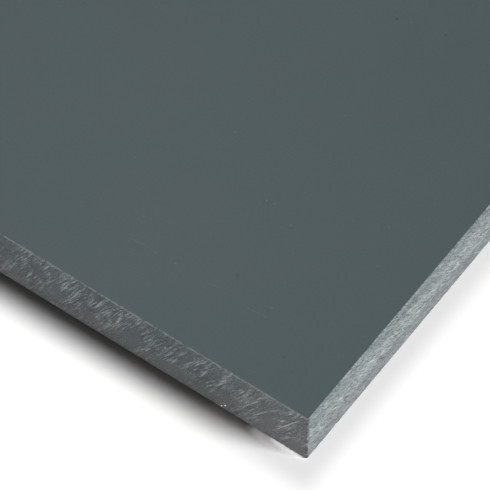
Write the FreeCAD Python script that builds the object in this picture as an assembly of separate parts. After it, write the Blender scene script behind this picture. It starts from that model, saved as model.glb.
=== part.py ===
import FreeCAD
import Part

import os

# A flat sheet of solid dark grey PVC, sawn square to a stock panel size.
# It is one pressed and sawn piece: two smooth faces and four sawn edges.
# The origin is the middle of the underside, +X runs along the length,
# +Y across the width and +Z up through the thickness. All sizes are mm.

# Driving dimensions
sheet_length = 1000.0
sheet_width = 500.0
sheet_thickness = 20.0

# The saw leaves the edges almost sharp. A scraper takes a fine bevel off the
# four upright corners, and off the arrises where the sawn sides meet the two
# faces. Each bevel reaches this far along both of the faces it joins.
upright_corner_bevel = 0.3
arris_bevel = 0.25

# The lower corner at +X, -Y has had a knock that flattened its point. This
# is how far the flat reaches along each of the three edges that met there.
knocked_corner_reach = 0.9

PARTS_FOLDER = "parts"
SAME_PLACE = 1e-6


def is_upright(edge):
    """True for an edge that runs through the thickness."""
    direction = edge.tangentAt(edge.FirstParameter)
    return abs(abs(direction.z) - 1.0) < SAME_PLACE


def lies_in_a_face(edge):
    """True for an edge that borders the underside or the top face."""
    box = edge.BoundBox
    flat = box.ZLength < SAME_PLACE
    outside = box.ZMin < SAME_PLACE or box.ZMax > sheet_thickness - SAME_PLACE
    return flat and outside


def sawn_blank():
    """The sheet as it leaves the saw, with sharp edges."""
    lower_corner = FreeCAD.Vector(-sheet_length / 2, -sheet_width / 2, 0)
    return Part.makeBox(sheet_length, sheet_width, sheet_thickness, lower_corner)


def eased(blank):
    """The blank with its upright corners and then its arrises bevelled."""
    uprights = [edge for edge in blank.Edges if is_upright(edge)]
    scraped = blank.makeChamfer(upright_corner_bevel, uprights)
    arrises = [edge for edge in scraped.Edges if lies_in_a_face(edge)]
    return scraped.makeChamfer(arris_bevel, arrises)


def knock():
    """The small three-sided piece of material that the knock took away."""
    point = FreeCAD.Vector(sheet_length / 2, -sheet_width / 2, 0)
    along_length = point + FreeCAD.Vector(-knocked_corner_reach, 0, 0)
    along_width = point + FreeCAD.Vector(0, knocked_corner_reach, 0)
    up_the_corner = point + FreeCAD.Vector(0, 0, knocked_corner_reach)
    corners = [point, along_length, along_width, up_the_corner]
    faces = []
    for left_out in corners:
        outline = [corner for corner in corners if corner is not left_out]
        faces.append(Part.Face(Part.makePolygon(outline + outline[:1])))
    return Part.makeSolid(Part.makeShell(faces))


def pvc_sheet():
    """The finished sheet, as one solid."""
    return eased(sawn_blank()).cut(knock()).Solids[0]


os.makedirs(PARTS_FOLDER, exist_ok=True)
sheet = pvc_sheet()
sheet.exportStep(os.path.join(PARTS_FOLDER, "pvc_sheet.step"))
print("pvc_sheet valid", sheet.isValid(), "volume cm3", round(sheet.Volume / 1000, 1))
print("faces", len(sheet.Faces), "box", sheet.BoundBox)
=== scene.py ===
import math

import bmesh
import bpy
from mathutils import Matrix, Vector


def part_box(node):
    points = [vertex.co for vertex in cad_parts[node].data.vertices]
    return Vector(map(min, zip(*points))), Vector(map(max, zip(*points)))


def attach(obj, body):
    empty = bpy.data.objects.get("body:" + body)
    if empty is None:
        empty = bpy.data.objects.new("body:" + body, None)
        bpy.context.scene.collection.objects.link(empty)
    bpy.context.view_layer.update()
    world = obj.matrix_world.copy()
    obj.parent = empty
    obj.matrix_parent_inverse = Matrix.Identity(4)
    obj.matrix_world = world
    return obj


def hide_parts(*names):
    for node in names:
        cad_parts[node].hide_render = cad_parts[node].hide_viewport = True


# A sheet of dark grey rigid PVC, lying on a white studio floor. Its two big
# faces are pressed smooth and its four sides are sawn. All sizes are metres.

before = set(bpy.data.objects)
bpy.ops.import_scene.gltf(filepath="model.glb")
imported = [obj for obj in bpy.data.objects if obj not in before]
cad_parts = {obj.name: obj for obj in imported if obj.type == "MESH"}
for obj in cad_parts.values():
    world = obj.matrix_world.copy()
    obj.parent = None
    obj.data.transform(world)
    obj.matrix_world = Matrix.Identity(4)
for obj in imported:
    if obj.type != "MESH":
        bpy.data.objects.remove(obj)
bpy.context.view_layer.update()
MM = 0.001
# Places that are nearer to each other than this count as the same
TINY = 0.01 * MM

SHEET_LOW, SHEET_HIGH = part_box("pvc_sheet")
LENGTH = SHEET_HIGH[0] - SHEET_LOW[0]
WIDTH = SHEET_HIGH[1] - SHEET_LOW[1]
THICKNESS = SHEET_HIGH[2] - SHEET_LOW[2]
RIGHT = LENGTH / 2
BACK = WIDTH / 2
NEAR_CORNER = Vector((RIGHT, -BACK, 0))

# The sawn outline, with its scraped edges and its knocked near corner
CORNER_BEVEL = 0.3 * MM
ARRIS_BEVEL = 0.25 * MM
KNOCKED_CORNER_REACH = 0.9 * MM
# How far in from a side's plane its arrises reach, with a little to spare
SIDE_ZONE = 1.01 * ARRIS_BEVEL

# The sawn sides are divided into narrow columns that lean with the saw marks.
# They are narrowest next to the near corner.
FINE_COLUMN = 0.3 * MM
COARSE_COLUMN = 1.0 * MM
FINE_ALONG_FRONT = 120 * MM
FINE_ALONG_END = 100 * MM
ROWS = 20
LEAN_FADES_OVER = 15 * MM

# How far the saw marks lean from upright
FRONT_LEAN = math.radians(33)
END_LEAN = math.radians(40)
# The fibres that they tore on the ends lean more, the broader ones most
FIBRE_LEAN = math.radians(51)
STREAK_LEAN = math.radians(70)
BAND_LEAN = math.radians(78)
# How deep the saw's shallow relief is, and how strongly its marks differ
LONG_SIDE_RELIEF = 0.10 * MM
END_RELIEF = 0.12 * MM
RELIEF_CONTRAST = 1.4

# The photograph's camera
VIEW_AZIMUTH = math.radians(35.303)
VIEW_ELEVATION = math.radians(53.355)
VIEW_ROLL = math.radians(0.661)
VIEW_WIDTH = math.radians(9.9175)
# Where the sheet's near bottom corner lies, seen from the camera: to the
# right, up and towards it
CORNER_FROM_CAMERA = Vector((16.986, -59.159, -777.596)) * MM

# The studio. The floor looks white, but throws less light back at the sheet.
FLOOR_SIZE = 24.0
FLOOR_WHITE = 1.0
FLOOR_BOUNCE = 0.5
# The rays to which the floor and the surroundings show their full white
SEEING_RAYS = ("Is Camera Ray", "Is Glossy Ray", "Is Transmission Ray")
# How much light the white surroundings give
AMBIENT = 0.006
# How brightly a low reflector in front lights the long side
FRONT_FILL = 0.85
REFLECTOR_ELEVATION = 6
# The weak lamp that shows as a sheen on the pressed face
SHEEN = 0.040
# Small pools of light on the floor beside the near corner: name, azimuth and
# elevation of the lamp, centre and radius in mm, share of the floor's white
CORNER_POOLS = [
    ("corner pool", 183.8, 15.2, (-6.3, 0.34), 2.0, 0.405),
    ("wide corner pool", 183.3, 15, (-10.0, -0.1), 3.0, 0.22),
    ("edge pool", 183, 15, (-3.4, 0.15), 1.15, 0.15),
]
# A pool's lamp is this near, so that its cone isn't narrower than 1 degree
POOL_LAMP_DISTANCE = 0.12
POOL_LAMP_SIZE = 0.1 * MM

# Colours of the plastic. The white studio that the pressed face mirrors makes
# it look lighter than it is written here.
PRESSED_COLOUR = (0.0432, 0.0622, 0.0671)
PALE_SPECK = (0.092, 0.111, 0.116)
DARK_SPECK = (0.0218, 0.0265, 0.0317)
PRESSED_ROUGHNESS = 0.32
# Painted light: the long side's colour runs from its foot to its top as the light on it does. The
# foot is painted lighter to make up for the light it lacks beside the sheet's shadow on the floor.
LONG_SIDE_FOOT_PAINTED_LIGHT = (0.084, 0.088, 0.090)
LONG_SIDE_HIGH = (0.064, 0.0755, 0.080)
# Painted light: the long side turns lighter towards the near corner, where more light falls on it
LONG_SIDE_PAINTED_CORNER_LIGHT = (0.104, 0.109, 0.110)
SAW_MARK = (0.31, 0.33, 0.33)
PALE_ARRIS = (0.155, 0.18, 0.183)
PALE_CHIP = (0.75, 0.75, 0.70)
END_EDGE = (0.144, 0.169, 0.180)
END_MIDDLE = (0.190, 0.214, 0.218)
END_FOOT = (0.166, 0.184, 0.191)
# Painted shade: the dark line down the near upright corner and along the foot of the end
PAINTED_SHADE = (0.050, 0.050, 0.052)

# What the photograph shows on each face. Every place is in mm, from the near
# corner: along the length (or the width, on the end), and then up, or across
# on the top face.
# Pale saw marks on the long side: start, end, width, strength
LONG_SIDE_MARKS = [
    ((-98.5, 5.5), (-95.0, 10.8), 0.9, 0.8),
    ((-94.0, 3.0), (-91.5, 7.0), 1.6, 0.4),
    ((-91.0, 9.0), (-88.8, 13.0), 0.7, 0.4),
    ((-82.0, 1.5), (-76.5, 13.0), 0.9, 0.4),
    ((-77.0, 8.0), (-72.0, 18.0), 0.8, 0.5),
    ((-74.2, 9.6), (-68.6, 19.2), 1.3, 0.6),
    ((-72.2, 3.6), (-69.8, 8.0), 0.8, 0.5),
    ((-69.6, 10.0), (-67.6, 14.5), 1.4, 0.8),
    ((-71.0, 2.0), (-66.5, 10.5), 0.8, 0.5),
    ((-66.6, 8.2), (-62.8, 17.0), 1.3, 0.6),
    ((-59.5, 14.5), (-56.0, 19.6), 0.6, 0.6),
    ((-60.0, 1.0), (-57.2, 4.2), 0.8, 0.6),
    ((-56.2, 4.3), (-53.4, 8.4), 0.9, 0.8),
    ((-55.0, 10.0), (-51.8, 16.5), 0.7, 0.4),
    ((-48.8, 11.0), (-44.0, 18.6), 0.9, 0.6),
    ((-45.2, 11.6), (-40.2, 18.0), 1.2, 0.7),
    ((-41.6, 10.8), (-38.0, 15.0), 0.8, 0.6),
    ((-37.2, 7.6), (-32.8, 16.4), 1.0, 0.5),
    ((-34.2, 2.8), (-31.0, 7.6), 0.8, 0.5),
    ((-30.6, 11.0), (-26.8, 16.0), 1.6, 0.7),
    ((-30.6, 10.0), (-25.8, 18.0), 0.9, 0.5),
    ((-22.6, 13.2), (-21.4, 15.4), 1.0, 0.5),
    ((-19.2, 13.2), (-18.2, 15.0), 1.1, 0.5),
]
# The clearest long saw marks: start, end, width, strength
LONG_THIN_MARKS = [
    ((-86.2, 7.6), (-81.0, 18.0), 0.6, 0.5),
    ((-82.4, 7.4), (-77.4, 17.2), 0.65, 0.5),
    ((-74.0, 9.8), (-69.4, 18.6), 0.8, 0.6),
    ((-66.4, 8.0), (-63.0, 17.0), 0.8, 0.6),
    ((-47.2, 5.6), (-43.6, 12.2), 0.65, 0.5),
    ((-36.9, 7.8), (-33.4, 15.2), 0.75, 0.55),
    ((-12.6, 2.8), (-0.9, 19.9), 0.55, 0.75),
    ((-9.6, 10.2), (-7.3, 13.3), 0.9, 0.6),
    ((-10.4, 7.2), (-8.4, 9.6), 0.9, 0.35),
    ((-6.4, 7.4), (-5.7, 8.4), 0.8, 0.7),
    ((-19.3, 4.4), (-13.4, 12.3), 0.7, 0.45),
    ((-24.9, 2.4), (-14.1, 18.0), 0.6, 0.4),
    ((-19.7, 10.0), (-15.7, 15.5), 0.9, 0.5),
    ((-21.8, 0.8), (-15.9, 7.4), 0.65, 0.35),
    ((-13.8, 11.6), (-8.7, 17.2), 0.7, 0.28),
    ((-15.5, 9.4), (-12.8, 13.0), 0.7, 0.3),
    ((-22.6, 2.0), (-18.4, 8.0), 0.5, 0.3),
    ((-20.9, 5.2), (-17.2, 10.4), 0.5, 0.35),
    ((-18.6, 2.2), (-15.0, 7.4), 0.5, 0.25),
    ((-24.2, 6.8), (-20.2, 12.6), 0.5, 0.3),
    ((-23.0, 10.2), (-19.8, 14.8), 0.5, 0.35),
    ((-17.6, 14.0), (-15.2, 17.6), 0.7, 0.4),
    ((-8.2, 2.8), (-5.0, 7.2), 0.5, 0.25),
]
# A pale chip that still hangs on the long side, in two bits: centre, length
PALE_CHIPS = [((-29.1, 0.9), 1.3), ((-27.8, 2.2), 1.3)]
CHIP_WIDTH = 0.65
# Where the long side is left smooth: centre, half sizes
LONG_SIDE_SMOOTH = [
    ((-92.5, 12.5), (2.6, 5.5)),
    ((-87.0, 8.5), (2.8, 5.0)),
    ((-75.5, 5.5), (4.0, 3.6)),
    ((-60.0, 7.5), (3.4, 5.5)),
    ((-45.5, 4.5), (6.0, 4.2)),
    ((-33.5, 3.5), (6.0, 3.2)),
    ((-12.8, 8.0), (2.4, 4.6)),
    ((-4.0, 3.2), (4.0, 3.4)),
]
# Lighter and darker areas of the end: centre, half sizes, how much lighter
END_AREAS = [
    ((2.2, 12.0), (1.6, 4.0), 0.30),
    ((5.5, 9.5), (4.5, 3.5), 0.16),
    ((9.0, 17.2), (1.8, 1.6), 0.30),
    ((15.5, 9.5), (5.5, 2.6), 0.18),
    ((26.5, 11.5), (4.5, 3.2), 0.22),
    ((38.0, 10.5), (5.0, 3.6), 0.14),
    ((52.0, 11.5), (2.6, 2.0), 0.30),
    ((58.0, 7.0), (5.0, 2.6), 0.12),
    ((75.5, 18.8), (2.6, 1.2), 0.34),
    ((76.0, 11.0), (4.5, 4.0), 0.18),
    ((47.0, 3.6), (4.5, 3.0), -0.16),
    ((29.0, 5.0), (5.0, 2.6), -0.12),
    ((67.0, 3.5), (4.5, 2.4), -0.12),
    ((79.0, 3.0), (3.0, 2.0), -0.18),
    ((12.0, 3.0), (7.0, 2.4), -0.08),
]
# Notches in the upright corner, painted dark as shade: how high, how tall, how deep
CORNER_NOTCHES = [(4.6, 1.3, 0.9), (8.4, 0.7, 0.4), (12.6, 0.9, 0.6), (16.2, 0.8, 0.4)]
# The broken scratch on the top face, with its width: start, end
SCRATCH_WIDTH = 0.5
TOP_SCRATCH = [
    ((-90.0, 20.4), (-86.4, 20.5)),
    ((-78.6, 20.5), (-67.3, 20.9)),
    ((-49.7, 20.8), (-44.3, 21.4)),
    ((-38.9, 20.2), (-24.3, 21.2)),
]
# Specks on the top face, with their sizes: place, strength
PALE_SPECK_SIZE = (1.1, 0.9, 1)
DARK_SPECK_SIZE = (1.2, 1.2, 1)
PALE_SPECKS = [
    ((-29.7, 24.4), 0.85),
    ((-50.1, 54.5), 0.70),
    ((-52.2, 93.2), 0.60),
    ((-41.9, 50.9), 0.60),
    ((-52.6, 54.1), 0.55),
    ((-19.0, 66.7), 0.55),
    ((-67.1, 20.7), 0.50),
    ((-60.3, 21.0), 0.50),
    ((-77.5, 28.9), 0.45),
    ((-56.6, 134.5), 0.45),
    ((-74.6, 69.0), 0.45),
    ((-92.5, 44.4), 0.40),
    ((-19.2, 95.2), 0.40),
    ((-13.9, 53.7), 0.40),
]
DARK_SPECKS = [
    ((-60.9, 132.9), 0.9),
    ((-45.6, 136.3), 0.65),
    ((-43.8, 27.9), 0.65),
    ((-29.9, 23.0), 0.5),
    ((-17.3, 12.8), 0.45),
]

# A point this near to a side's plane, in mm, lies on that side
ON_SIDE = 0.3
# The share of a mark's reach over which it fades out
SOFT_RIM = 0.75


def start_editing():
    """Opens the active piece in edit mode with nothing selected."""
    bpy.ops.object.mode_set(mode="EDIT")
    bpy.ops.mesh.select_all(action="DESELECT")


def stop_editing():
    """Leaves edit mode, which writes the changes to the piece."""
    bpy.ops.object.mode_set(mode="OBJECT")


def select_edges(wanted):
    """Selects the edges for which wanted(start, end) is true."""
    bpy.ops.mesh.select_mode(type="EDGE")
    bpy.ops.mesh.select_all(action="DESELECT")
    mesh = bmesh.from_edit_mesh(bpy.context.object.data)
    for edge in mesh.edges:
        start, end = (vertex.co for vertex in edge.verts)
        if wanted(start, end):
            edge.select_set(True)
    bmesh.update_edit_mesh(bpy.context.object.data)


def divide(wanted, length, spacing):
    """Cuts the chosen edges of one straight side into equal parts of about spacing.

    One call makes at most 100 cuts, so the side is divided in two rounds.
    """
    parts = length / spacing
    first = math.ceil(math.sqrt(parts))
    second = math.ceil(parts / first)
    for cuts in (first - 1, second - 1):
        select_edges(wanted)
        bpy.ops.mesh.subdivide(number_cuts=cuts)


def split_side(sheet, wanted, axis, place):
    """Cuts one straight side in two at a place along it."""
    select_edges(wanted)
    bpy.ops.mesh.subdivide(number_cuts=1)
    bpy.ops.mesh.select_mode(type="VERT")
    bpy.ops.mesh.select_all(action="DESELECT")
    mesh = bmesh.from_edit_mesh(sheet.data)
    on_side = [vertex for vertex in mesh.verts if wanted(vertex.co, vertex.co)]
    middle = min(on_side, key=lambda vertex: abs(vertex.co[axis]))
    middle.select_set(True)
    move = Vector((0, 0, 0))
    move[axis] = place - middle.co[axis]
    bpy.ops.transform.translate(value=move)


def draw_outline():
    """Draws the sheet's outline on the floor, with its sides cut into columns."""
    bpy.ops.mesh.primitive_plane_add(size=1)
    sheet = bpy.context.object
    sheet.name = "sawn_pvc_sheet"
    start_editing()
    bpy.ops.mesh.select_all(action="SELECT")
    bpy.ops.transform.resize(value=(LENGTH, WIDTH, 1))
    bpy.ops.mesh.bevel(offset=CORNER_BEVEL, segments=1, affect="VERTICES")
    bpy.ops.mesh.delete(type="ONLY_FACE")

    fine_from_x = RIGHT - FINE_ALONG_FRONT
    fine_to_y = FINE_ALONG_END - BACK

    def in_front(start, end):
        return max(start.y, end.y) < TINY - BACK

    def behind(start, end):
        return min(start.y, end.y) > BACK - TINY

    def at_right(start, end):
        return min(start.x, end.x) > RIGHT - TINY

    def at_left(start, end):
        return max(start.x, end.x) < TINY - RIGHT

    def fine_front(start, end):
        return in_front(start, end) and min(start.x, end.x) > fine_from_x - TINY

    def coarse_front(start, end):
        return in_front(start, end) and max(start.x, end.x) < fine_from_x + TINY

    def fine_end(start, end):
        return at_right(start, end) and max(start.y, end.y) < fine_to_y + TINY

    def coarse_end(start, end):
        return at_right(start, end) and min(start.y, end.y) > fine_to_y - TINY

    split_side(sheet, in_front, 0, fine_from_x)
    split_side(sheet, at_right, 1, fine_to_y)
    divide(fine_front, FINE_ALONG_FRONT, FINE_COLUMN)
    divide(coarse_front, LENGTH - FINE_ALONG_FRONT, COARSE_COLUMN)
    divide(fine_end, FINE_ALONG_END, FINE_COLUMN)
    divide(coarse_end, WIDTH - FINE_ALONG_END, COARSE_COLUMN)
    divide(behind, LENGTH, COARSE_COLUMN)
    divide(at_left, WIDTH, COARSE_COLUMN)
    return sheet


def grow_ring(from_inset, to_inset, rise):
    """Extrudes the selected ring upwards and lets it grow or shrink all round."""
    grow = [(size - 2 * to_inset) / (size - 2 * from_inset) for size in (LENGTH, WIDTH)]
    bpy.ops.mesh.extrude_region_move(TRANSFORM_OT_translate={"value": (0, 0, rise)})
    bpy.ops.transform.resize(value=(*grow, 1), center_override=(0, 0, 0))


def raise_sides():
    """Extrudes the outline up through both arrises, and closes the two big faces."""
    bpy.ops.mesh.select_mode(type="EDGE")
    bpy.ops.mesh.select_all(action="SELECT")
    shrink = [(size - 2 * ARRIS_BEVEL) / size for size in (LENGTH, WIDTH)]
    bpy.ops.transform.resize(value=(*shrink, 1), center_override=(0, 0, 0))
    grow_ring(ARRIS_BEVEL, 0, ARRIS_BEVEL)
    for row in range(ROWS):
        grow_ring(0, 0, (THICKNESS - 2 * ARRIS_BEVEL) / ROWS)
    grow_ring(0, ARRIS_BEVEL, ARRIS_BEVEL)
    for height in (0, THICKNESS):
        select_edges(lambda start, end: abs(start.z - height) + abs(end.z - height) < TINY)
        bpy.ops.mesh.edge_face_add()
        bpy.ops.mesh.poke()
    bpy.ops.mesh.select_all(action="SELECT")
    bpy.ops.mesh.normals_make_consistent(inside=False)


def knock_near_corner():
    """Cuts off the point of the near bottom corner, square to its diagonal."""
    bpy.ops.mesh.select_all(action="SELECT")
    bpy.ops.mesh.bisect(
        plane_co=NEAR_CORNER + Vector((-KNOCKED_CORNER_REACH, 0, 0)),
        plane_no=(1, -1, -1),
        use_fill=True,
        clear_outer=True,
    )


def smooth_step(x):
    """0 below 0, 1 above 1, and a smooth rise between them."""
    x = min(max(x, 0), 1)
    return x * x * (3 - 2 * x)


def on_long_side(place):
    """True on a long side and its arrises."""
    return BACK - abs(place.y) < SIDE_ZONE and RIGHT - abs(place.x) > CORNER_BEVEL


def on_end(place):
    """True on an end and its arrises."""
    return RIGHT - abs(place.x) < SIDE_ZONE and BACK - abs(place.y) > CORNER_BEVEL


def lean_columns(sheet):
    """Slides the rows of the sawn sides along, so that the columns lean as the marks do."""
    for vertex in sheet.data.vertices:
        place = vertex.co
        if THICKNESS - place.z < TINY:
            place.z = THICKNESS
        up = place.z - THICKNESS / 2
        if on_long_side(place):
            fade = smooth_step((RIGHT - CORNER_BEVEL - abs(place.x)) / LEAN_FADES_OVER)
            place.x += up * math.tan(FRONT_LEAN) * fade
        elif on_end(place):
            fade = smooth_step((BACK - CORNER_BEVEL - abs(place.y)) / LEAN_FADES_OVER)
            place.y -= up * math.tan(END_LEAN) * fade


def name_group(sheet, name, wanted):
    """A vertex group of the points for which wanted(place) is true."""
    group = sheet.vertex_groups.new(name=name)
    chosen = [vertex.index for vertex in sheet.data.vertices if wanted(vertex.co)]
    group.add(chosen, 1, "REPLACE")


def share_of_mark(at, start, end, width):
    """1 along the middle of a mark from start to end, and 0 all round it."""
    start, end = Vector(start), Vector(end)
    along = (end - start).normalized()
    offset = Vector(at) - (start + end) / 2
    lengthways = offset.dot(along) / ((end - start).length / 2)
    sideways = offset.cross(along) / (width / 2)
    return smooth_step((1 - math.hypot(lengthways, sideways)) / SOFT_RIM)


def share_of_area(at, centre, half_sizes):
    """1 in the middle of an area, and 0 all round it."""
    reach = Vector((0, half_sizes[1]))
    middle = Vector(centre)
    return share_of_mark(at, middle - reach, middle + reach, 2 * half_sizes[0])


def note_what_shows(sheet):
    """Writes the photographed marks and areas onto the points of the two near sides."""
    kinds = ("saw_marks", "left_smooth", "lighter")
    notes = [sheet.data.attributes.new(kind, "FLOAT", "POINT") for kind in kinds]
    marks, smooth, lighter = ([0.0] * len(sheet.data.vertices) for kind in kinds)
    for vertex in sheet.data.vertices:
        x, y, z = (vertex.co - NEAR_CORNER) / MM
        if y < ON_SIDE and x > -FINE_ALONG_FRONT / MM:
            shares = [share_of_mark((x, z), *mark[:3]) * mark[3] for mark in LONG_SIDE_MARKS]
            marks[vertex.index] = max(shares)
            smooth[vertex.index] = max(share_of_area((x, z), *area) for area in LONG_SIDE_SMOOTH)
        elif x > -ON_SIDE and y < FINE_ALONG_END / MM:
            shares = [share_of_area((y, z), *area[:2]) * area[2] for area in END_AREAS]
            lighter[vertex.index] = sum(shares)
    for note, values in zip(notes, (marks, smooth, lighter)):
        note.data.foreach_set("value", values)


def level_faces(sheet, before):
    """Puts the rims of the pressed faces back at their own height, so they stay flat."""
    for vertex, height in zip(sheet.data.vertices, before):
        if min(height, THICKNESS - height) < TINY:
            vertex.co.z = height


def press_marks(sheet, group, size, turn, depth):
    """Sinks a pattern of marks into a group of points, by up to depth.

    size is how large the marks are along X, Y and Z, before the turn.
    """
    bpy.ops.object.empty_add()
    guide = bpy.context.object
    guide.rotation_euler = turn
    guide.scale = size
    pattern = bpy.data.textures.new(group + " marks", type="CLOUDS")
    pattern.contrast = RELIEF_CONTRAST
    pattern.noise_scale = 1
    pattern.noise_depth = 2
    bpy.context.view_layer.update()
    bpy.ops.object.select_all(action="DESELECT")
    sheet.select_set(True)
    bpy.context.view_layer.objects.active = sheet
    marks = sheet.modifiers.new("marks", "DISPLACE")
    marks.texture = pattern
    marks.texture_coords = "OBJECT"
    marks.texture_coords_object = guide
    marks.vertex_group = group
    # The middle lies above the pattern's highest value, so points only sink in
    marks.mid_level = 1.15
    marks.strength = depth
    bpy.ops.object.modifier_apply(modifier="marks")
    bpy.data.objects.remove(guide)


def make_sheet():
    """The sheet as one closed piece, with the saw's marks cut into its sides."""
    sheet = draw_outline()
    raise_sides()
    stop_editing()
    lean_columns(sheet)
    note_what_shows(sheet)
    name_group(sheet, "long sides", on_long_side)
    name_group(sheet, "ends", on_end)
    heights = [vertex.co.z for vertex in sheet.data.vertices]
    along_front = (0, FRONT_LEAN, 0)
    along_end = (END_LEAN, 0, 0)
    press_marks(sheet, "long sides", (0.9 * MM, 9 * MM, 8 * MM), along_front, LONG_SIDE_RELIEF)
    press_marks(sheet, "ends", (9 * MM, 0.8 * MM, 5 * MM), along_end, END_RELIEF)
    level_faces(sheet, heights)
    start_editing()
    knock_near_corner()
    stop_editing()
    return sheet


class Recipe:
    """A material being made. Each method adds one step and gives back its result."""

    def __init__(self, name, roughness, specular):
        self.material = bpy.data.materials.new(name)
        self.material.use_nodes = True
        self.nodes = self.material.node_tree.nodes
        self.links = self.material.node_tree.links
        self.shader = self.nodes["Principled BSDF"]
        self.shader.inputs["Roughness"].default_value = roughness
        self.shader.inputs["Specular IOR Level"].default_value = specular

    def feed(self, socket, value):
        """Gives a socket a fixed value, or another step's result."""
        if isinstance(value, bpy.types.NodeSocket):
            self.links.new(value, socket)
        elif hasattr(value, "__len__") and socket.type == "RGBA":
            socket.default_value = (*value, 1)
        else:
            socket.default_value = value

    def position(self):
        """Where a point lies on the piece."""
        return self.nodes.new("ShaderNodeTexCoord").outputs["Object"]

    def turned(self, position, turn, size):
        """The position in a frame that is turned, with these sizes as its units."""
        step = self.nodes.new("ShaderNodeMapping")
        step.vector_type = "TEXTURE"
        step.inputs["Rotation"].default_value = turn
        step.inputs["Scale"].default_value = size
        self.feed(step.inputs["Vector"], position)
        return step.outputs["Vector"]

    def noise(self, position, detail=2.0, rough=0.5, twist=0.0):
        """Soft random patches that average 0.5 and are about one unit apart."""
        step = self.nodes.new("ShaderNodeTexNoise")
        step.inputs["Scale"].default_value = 1
        step.inputs["Detail"].default_value = detail
        step.inputs["Roughness"].default_value = rough
        step.inputs["Distortion"].default_value = twist
        self.feed(step.inputs["Vector"], position)
        return step.outputs["Fac"]

    def axis(self, position, name):
        """One coordinate of the position."""
        step = self.nodes.new("ShaderNodeSeparateXYZ")
        self.feed(step.inputs["Vector"], position)
        return step.outputs[name]

    def rise(self, value, start, end, low=0.0, high=1.0):
        """Goes smoothly from low to high while the value goes from start to end."""
        step = self.nodes.new("ShaderNodeMapRange")
        step.interpolation_type = "SMOOTHSTEP"
        self.feed(step.inputs["Value"], value)
        step.inputs["From Min"].default_value = start
        step.inputs["From Max"].default_value = end
        step.inputs["To Min"].default_value = low
        step.inputs["To Max"].default_value = high
        return step.outputs["Result"]

    def maths(self, operation, first, second):
        """The result of one operation on two values."""
        step = self.nodes.new("ShaderNodeMath")
        step.operation = operation
        self.feed(step.inputs[0], first)
        self.feed(step.inputs[1], second)
        return step.outputs[0]

    def times(self, first, second):
        """The product of two values."""
        return self.maths("MULTIPLY", first, second)

    def plus(self, first, second):
        """The sum of two values."""
        return self.maths("ADD", first, second)

    def blend(self, share, first, second):
        """A colour that goes from the first to the second as share goes from 0 to 1."""
        step = self.nodes.new("ShaderNodeMix")
        step.data_type = "RGBA"
        self.feed(step.inputs["Factor"], share)
        self.feed(step.inputs["A"], first)
        self.feed(step.inputs["B"], second)
        return step.outputs["Result"]

    def note(self, name):
        """What was written onto the mesh under this name."""
        step = self.nodes.new("ShaderNodeAttribute")
        step.attribute_name = name
        return step.outputs["Fac"]

    def spot(self, position, centre, size, turn=(0, 0, 0)):
        """1 in the middle of a spot and 0 all round it.

        Its centre and size are in mm, the centre from the near corner.
        """
        step = self.nodes.new("ShaderNodeMapping")
        step.vector_type = "TEXTURE"
        step.inputs["Location"].default_value = NEAR_CORNER + Vector(centre) * MM
        step.inputs["Rotation"].default_value = turn
        step.inputs["Scale"].default_value = Vector(size) * MM / 2
        self.feed(step.inputs["Vector"], position)
        away = self.nodes.new("ShaderNodeVectorMath")
        away.operation = "LENGTH"
        self.feed(away.inputs[0], step.outputs["Vector"])
        return self.rise(away.outputs["Value"], 1, 1 - SOFT_RIM)

    def strongest(self, shares):
        """The largest of several results at each place."""
        total = shares[0]
        for share in shares[1:]:
            total = self.maths("MAXIMUM", total, share)
        return total

    def colour(self, value):
        """Sets the colour of the material."""
        self.feed(self.shader.inputs["Base Color"], value)

    def roughness(self, value):
        """Sets how dull the material is."""
        self.feed(self.shader.inputs["Roughness"], value)

    def bump(self, height, distance):
        """Makes the surface look as if a height of 1 stood out by this distance."""
        step = self.nodes.new("ShaderNodeBump")
        step.inputs["Distance"].default_value = distance
        self.feed(step.inputs["Height"], height)
        self.links.new(step.outputs["Normal"], self.shader.inputs["Normal"])


def shaded(recipe, colour, grain, depth):
    """The colour made lighter and darker by a grain that averages 0.5."""
    light = recipe.nodes.new("ShaderNodeMapRange")
    light.inputs["From Min"].default_value = 0.2
    light.inputs["From Max"].default_value = 0.8
    light.inputs["To Min"].default_value = 1 - depth
    light.inputs["To Max"].default_value = 1 + depth
    recipe.feed(light.inputs["Value"], grain)
    step = recipe.nodes.new("ShaderNodeVectorMath")
    step.operation = "SCALE"
    recipe.feed(step.inputs[0], colour)
    recipe.feed(step.inputs["Scale"], light.outputs["Result"])
    return step.outputs["Vector"]


def flattened(recipe, grain, share):
    """A grain that averages 0.5, of which only a share of its ups and downs is left."""
    return recipe.plus(0.5, recipe.times(recipe.plus(grain, -0.5), share))


def top_scratch(face, place, grain):
    """1 along the broken scratch on the top face."""
    strokes = []
    for start, end in TOP_SCRATCH:
        along = Vector(end) - Vector(start)
        middle = (Vector(end) + Vector(start)) / 2
        turn = (0, 0, math.atan2(along.y, along.x))
        centre = (*middle, THICKNESS / MM)
        strokes.append(face.spot(place, centre, (along.length, SCRATCH_WIDTH, 1), turn))
    return face.times(face.strongest(strokes), face.rise(grain, 0.35, 0.6, 0.2, 1))


def top_specks(face, place, specks, size):
    """As much as each speck's strength in its middle, and 0 all round the specks."""
    spots = []
    for at, strength in specks:
        spot = face.spot(place, (*at, THICKNESS / MM), size)
        spots.append(face.times(spot, strength))
    return face.strongest(spots)


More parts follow.
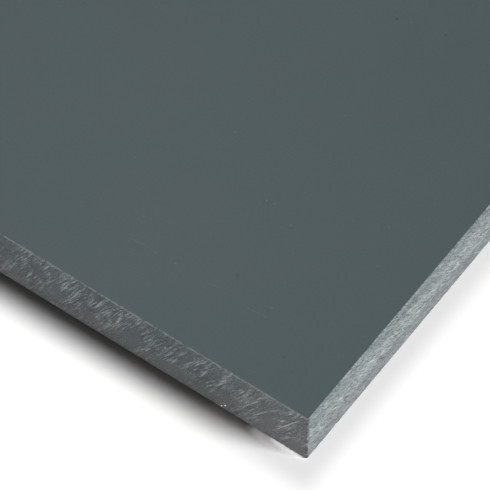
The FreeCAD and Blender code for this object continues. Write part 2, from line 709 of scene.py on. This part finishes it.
def pressed_material():
    """The smooth pressed face: even blue-grey with faint clouds, specks and a fine scratch."""
    face = Recipe("pressed pvc", roughness=PRESSED_ROUGHNESS, specular=0.2)
    place = face.position()
    clouds = face.noise(face.turned(place, (0, 0, 0), [30 * MM] * 3), detail=3)
    grain = face.noise(face.turned(place, (0, 0, 0), [0.8 * MM] * 3), detail=2)
    colour = shaded(face, PRESSED_COLOUR, clouds, depth=0.07)
    colour = shaded(face, colour, grain, depth=0.07)
    scratch = top_scratch(face, place, grain)
    pale = top_specks(face, place, PALE_SPECKS, PALE_SPECK_SIZE)
    dark = top_specks(face, place, DARK_SPECKS, DARK_SPECK_SIZE)
    colour = face.blend(face.times(scratch, 0.45), colour, PALE_SPECK)
    colour = face.blend(pale, colour, PALE_SPECK)
    colour = face.blend(dark, colour, DARK_SPECK)
    face.colour(colour)
    face.roughness(face.rise(clouds, 0.3, 0.7, PRESSED_ROUGHNESS - 0.02, PRESSED_ROUGHNESS + 0.02))
    face.bump(face.maths("SUBTRACT", face.times(grain, 0.1), scratch), 0.01 * MM)
    return face.material


def upright_corner_shade(side, place):
    """1 on the dark, nicked line of painted shade down the near upright corner."""
    nicks = []
    for up, tall, deep in CORNER_NOTCHES:
        nicks.append(side.spot(place, (0, 0, up), (1, 2 * deep, 2 * tall)))
    from_end = side.maths("SUBTRACT", RIGHT, side.axis(place, "X"))
    from_side = side.plus(side.axis(place, "Y"), BACK)
    ragged = side.noise(side.turned(place, (0, 0, 0), (3 * MM, 3 * MM, 1.1 * MM)), detail=3)
    reach = side.times(side.plus(ragged, -0.33), 3.2 * MM)
    away = side.maths("SUBTRACT", side.plus(from_end, from_side), reach)
    line = side.rise(away, 0.2 * MM, -0.4 * MM, 0, 0.9)
    return side.strongest([line] + nicks)


def thin_saw_marks(side, place, grit):
    """The clearest long saw marks of the near long side, broken up a little by the grit."""
    marks = []
    for start, end, width, strength in LONG_THIN_MARKS:
        along = Vector(end) - Vector(start)
        middle = (Vector(end) + Vector(start)) / 2
        turn = (0, math.atan2(along.x, along.y), 0)
        mark = side.spot(place, (middle.x, 0, middle.y), (width, 3, along.length), turn)
        marks.append(side.times(mark, strength))
    return side.times(side.strongest(marks), side.rise(grit, 0.3, 0.6, 0.7, 1.3))


def torn_clusters(side, place, up, fine, patches):
    """The clusters in which the saw tore most, denser towards the top."""
    lean = (0, FRONT_LEAN, 0)
    broad = side.noise(side.turned(place, lean, (0.8 * MM, 6 * MM, 9 * MM)), detail=2)
    fine_share = side.times(side.rise(fine, 0.49, 0.66), 0.42)
    broad_share = side.times(side.rise(broad, 0.5, 0.72), 0.2)
    torn = side.times(side.rise(patches, 0.38, 0.64), side.rise(up, 1 * MM, 11 * MM, 0.4, 1))
    return side.times(side.plus(fine_share, broad_share), torn)


def pale_arris_lines(side, place, colour, up, grit):
    """The colour with pale lines along the top and bottom arris."""
    line_breaks = side.noise(side.turned(place, (0, 0, 0), [2.5 * MM] * 3), detail=2)
    pale_line = side.rise(up, THICKNESS - 0.70 * MM, THICKNESS - 0.32 * MM)
    pale_line = side.times(pale_line, side.rise(up, THICKNESS, THICKNESS - 0.3 * MM, 0.5, 1))
    pale_line = side.times(pale_line, side.rise(side.plus(side.times(grit, 0.5), line_breaks), 0.6, 0.85, 0.2, 1))
    colour = side.blend(pale_line, colour, PALE_ARRIS)
    return side.blend(side.rise(up, 0.7 * MM, 0.3 * MM, 0, 0.3), colour, PALE_ARRIS)


def pale_chips(side, place):
    """1 on the chip that still hangs on the long side."""
    chips = []
    for (along, up), length in PALE_CHIPS:
        chips.append(side.spot(place, (along, 0, up), (CHIP_WIDTH, 1, length), (0, FRONT_LEAN, 0)))
    return side.strongest(chips)


def sawn_long_material():
    """The sawn long sides: mid grey with clusters of pale leaning saw marks."""
    side = Recipe("sawn pvc, long sides", roughness=0.75, specular=0.2)
    place = side.position()
    up = side.axis(place, "Z")
    lean = (0, FRONT_LEAN, 0)
    fine = side.noise(
        side.turned(place, lean, (0.42 * MM, 6 * MM, 4 * MM)), detail=3, rough=0.55, twist=0.25
    )
    patches = side.noise(side.turned(place, lean, (5 * MM, 9 * MM, 10 * MM)), detail=2)
    grit = side.noise(side.turned(place, lean, (0.3 * MM, 0.3 * MM, 0.9 * MM)), detail=2)
    tone = side.noise(side.turned(place, (0, 0, 0), [14 * MM] * 3), detail=2)
    rough = side.rise(side.note("left_smooth"), 0.1, 0.7, 1, 0.15)

    torn = side.times(torn_clusters(side, place, up, fine, patches), rough)
    drawn = side.times(side.note("saw_marks"), side.rise(fine, 0.36, 0.58, 0.3, 0.7))
    marks = side.times(side.strongest([torn, drawn]), side.rise(grit, 0.3, 0.7, 0.5, 1.5))
    marks = side.strongest([marks, thin_saw_marks(side, place, grit)])

    # Painted light: lighter towards the foot, to make up for the light the foot lacks beside the
    # floor shadow
    colour = side.blend(side.rise(up, 2 * MM, 14 * MM), LONG_SIDE_FOOT_PAINTED_LIGHT, LONG_SIDE_HIGH)
    # Painted light, growing towards the near corner
    near_corner = side.rise(side.axis(place, "X"), RIGHT - 38 * MM, RIGHT - 8 * MM)
    colour = side.blend(side.times(near_corner, 0.7), colour, LONG_SIDE_PAINTED_CORNER_LIGHT)
    colour = shaded(side, colour, tone, depth=0.12)
    colour = shaded(side, colour, flattened(side, grit, rough), depth=0.6)
    fine_share = side.times(side.rise(patches, 0.38, 0.62, 0.55, 1.35), rough)
    colour = shaded(side, colour, flattened(side, fine, fine_share), depth=0.35)
    colour = side.blend(marks, colour, SAW_MARK)
    colour = pale_arris_lines(side, place, colour, up, grit)
    colour = side.blend(pale_chips(side, place), colour, PALE_CHIP)
    colour = side.blend(upright_corner_shade(side, place), colour, PAINTED_SHADE)
    side.colour(colour)
    side.bump(side.plus(marks, side.times(grit, 0.3)), 0.05 * MM)
    return side.material


def sawn_end_material():
    """The sawn ends: pale grey with fine crinkled fibres, smoother along the foot."""
    side = Recipe("sawn pvc, ends", roughness=0.8, specular=0.15)
    place = side.position()
    up = side.axis(place, "Z")
    fibres = side.noise(
        side.turned(place, (FIBRE_LEAN, 0, 0), (6 * MM, 0.45 * MM, 2.0 * MM)),
        detail=3,
        rough=0.6,
        twist=1.2,
    )
    streaks = side.noise(
        side.turned(place, (STREAK_LEAN, 0, 0), (9 * MM, 1.0 * MM, 4 * MM)), detail=2, twist=0.5
    )
    tone = side.noise(side.turned(place, (BAND_LEAN, 0, 0), (9 * MM, 3 * MM, 9 * MM)), detail=2)

    wavy = side.plus(up, side.times(side.plus(tone, -0.5), 5 * MM))
    foot = side.rise(wavy, 6.6 * MM, 5.4 * MM)
    rough = side.rise(foot, 0, 1, 1, 0.7)
    streaks = flattened(side, streaks, rough)
    fibres = flattened(side, fibres, rough)

    colour = side.blend(side.rise(up, THICKNESS, 11 * MM), END_EDGE, END_MIDDLE)
    colour = side.blend(foot, colour, END_FOOT)
    colour = shaded(side, colour, tone, depth=0.11)
    lighter = side.plus(0.5, side.times(side.note("lighter"), 0.22))
    colour = shaded(side, colour, lighter, depth=1)
    colour = shaded(side, colour, streaks, depth=0.43)
    colour = shaded(side, colour, fibres, depth=0.97)
    # Painted shade along the foot of the end, where it meets the floor
    colour = side.blend(side.rise(up, 0.5 * MM, 0.1 * MM, 0, 0.5), colour, PAINTED_SHADE)
    colour = side.blend(upright_corner_shade(side, place), colour, PAINTED_SHADE)
    side.colour(colour)
    side.bump(side.plus(fibres, side.times(streaks, 0.6)), 0.08 * MM)
    return side.material


def finish_faces(sheet):
    """Gives the pressed faces, the long sides and the ends each their own material."""
    for material in (pressed_material(), sawn_long_material(), sawn_end_material()):
        sheet.data.materials.append(material)
    flat = math.cos(math.radians(20))
    for face in sheet.data.polygons:
        x, y, z = (abs(part) for part in face.normal)
        if z > flat:
            face.material_index = 0
        elif y > x:
            face.material_index = 1
        else:
            face.material_index = 2
    bpy.ops.object.select_all(action="DESELECT")
    sheet.select_set(True)
    bpy.context.view_layer.objects.active = sheet
    bpy.ops.object.shade_smooth_by_angle(angle=math.radians(30))
    for face in sheet.data.polygons:
        if face.material_index == 0:
            face.use_smooth = False


def set_up_camera():
    """Puts the camera where the photograph was taken from."""
    bpy.ops.object.camera_add()
    camera = bpy.context.object
    camera.name = "camera"
    camera.data.sensor_fit = "HORIZONTAL"
    camera.data.angle = VIEW_WIDTH
    camera.data.clip_start = 0.05
    camera.data.clip_end = 50
    a, e = VIEW_AZIMUTH, VIEW_ELEVATION
    towards_camera = Vector((math.sin(a) * math.cos(e), -math.cos(a) * math.cos(e), math.sin(e)))
    right = Vector((math.cos(a), math.sin(a), 0))
    up = towards_camera.cross(right)
    turn = Matrix((right, up, towards_camera)).transposed() @ Matrix.Rotation(VIEW_ROLL, 3, "Z")
    place = NEAR_CORNER - turn @ CORNER_FROM_CAMERA
    camera.matrix_world = Matrix.Translation(place) @ turn.to_4x4()
    bpy.context.scene.camera = camera


def lay_floor():
    """A plain white floor, as bright as paper where no shadow falls."""
    bpy.ops.mesh.primitive_plane_add(size=FLOOR_SIZE)
    floor = bpy.context.object
    floor.name = "studio_floor"
    paper = Recipe("white studio paper", roughness=0.9, specular=0)
    path = paper.nodes.new("ShaderNodeLightPath")
    seen = paper.strongest([path.outputs[ray] for ray in SEEING_RAYS])
    paper.colour(paper.blend(seen, [FLOOR_BOUNCE] * 3, [FLOOR_WHITE] * 3))
    floor.data.materials.append(paper.material)
    return floor


def direction(azimuth, elevation):
    """The way to a lamp. The azimuth runs from +X towards +Y."""
    a, e = math.radians(azimuth), math.radians(elevation)
    return Vector((math.cos(e) * math.cos(a), math.cos(e) * math.sin(a), math.sin(e)))


def light_only(lamp, piece):
    """Lets a lamp light one piece and nothing else."""
    only = bpy.data.collections.new(lamp.name + " lights only")
    only.objects.link(piece)
    lamp.light_linking.receiver_collection = only


def add_sun(name, azimuth, elevation, spread, floor_share, tint=(1, 1, 1), glossy=False):
    """A far soft light, which the sheet mirrors only if it is glossy.

    floor_share is how much of the floor's white it gives.
    """
    towards = direction(azimuth, elevation)
    bpy.ops.object.light_add(type="SUN")
    lamp = bpy.context.object
    lamp.name = name
    lamp.data.angle = math.radians(spread)
    lamp.data.color = [part / max(tint) for part in tint]
    lamp.data.energy = max(tint) * floor_share * math.pi / towards.z
    lamp.rotation_mode = "QUATERNION"
    lamp.rotation_quaternion = towards.to_track_quat("Z", "Y")
    lamp.visible_glossy = glossy
    return lamp


def add_pool(floor, name, azimuth, elevation, centre, radius, floor_share):
    """A small soft pool of light on the floor. Centre and radius are in mm."""
    towards = direction(azimuth, elevation)
    bpy.ops.object.light_add(type="SPOT")
    lamp = bpy.context.object
    lamp.name = name
    lamp.location = NEAR_CORNER + Vector((*centre, 0)) * MM + towards * POOL_LAMP_DISTANCE
    lamp.rotation_mode = "QUATERNION"
    lamp.rotation_quaternion = towards.to_track_quat("Z", "Y")
    lamp.data.spot_size = 2 * math.atan(radius * MM / POOL_LAMP_DISTANCE)
    lamp.data.spot_blend = 1
    lamp.data.shadow_soft_size = POOL_LAMP_SIZE
    lamp.data.energy = floor_share * 4 * math.pi ** 2 * POOL_LAMP_DISTANCE ** 2 / towards.z
    light_only(lamp, floor)


def light_studio(sheet, floor):
    """The lamps: a key light and a low one at the right, weak ones behind, a reflector in front."""
    add_sun("key", 14.2, 36.3, spread=16.8, floor_share=0.637, tint=(0.98, 1, 1.02))
    add_sun("low key", 5.1, 15.3, spread=12.8, floor_share=0.134, tint=(1.08, 1, 0.94))
    add_sun("back", 126, 59.5, spread=22.0, floor_share=0.31, tint=(1.035, 1, 0.955))
    sheen = add_sun("sheen", 130, 55, spread=12, floor_share=SHEEN, glossy=True)
    sheen.visible_diffuse = False
    # An upright side that faces a low lamp gets far more of its light than the floor
    share = FRONT_FILL * math.tan(math.radians(REFLECTOR_ELEVATION))
    reflector = add_sun("front reflector", -90, REFLECTOR_ELEVATION, spread=12, floor_share=share)
    light_only(reflector, sheet)
    for pool in CORNER_POOLS:
        add_pool(floor, *pool)


def surround_with_white():
    """White surroundings, as the camera and the satin face see them, that light next to nothing."""
    world = bpy.data.worlds.new("studio")
    bpy.context.scene.world = world
    world.use_nodes = True
    nodes = world.node_tree.nodes
    links = world.node_tree.links
    background = nodes["Background"]
    background.inputs["Color"].default_value = (1, 1, 1, 1)
    path = nodes.new("ShaderNodeLightPath")
    seen = path.outputs[SEEING_RAYS[0]]
    for ray in SEEING_RAYS[1:]:
        either = nodes.new("ShaderNodeMath")
        either.operation = "MAXIMUM"
        links.new(seen, either.inputs[0])
        links.new(path.outputs[ray], either.inputs[1])
        seen = either.outputs[0]
    brightness = nodes.new("ShaderNodeMapRange")
    brightness.inputs["To Min"].default_value = AMBIENT
    brightness.inputs["To Max"].default_value = 1.0
    links.new(seen, brightness.inputs["Value"])
    links.new(brightness.outputs["Result"], background.inputs["Strength"])


set_up_camera()
floor = lay_floor()
sheet = make_sheet()
finish_faces(sheet)
# The sheet throws no light back on the floor, so its shadow stays deep
sheet.visible_diffuse = False
light_studio(sheet, floor)
surround_with_white()

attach(sheet, "root")
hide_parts("pvc_sheet")

bpy.context.scene.view_settings.view_transform = "Standard"
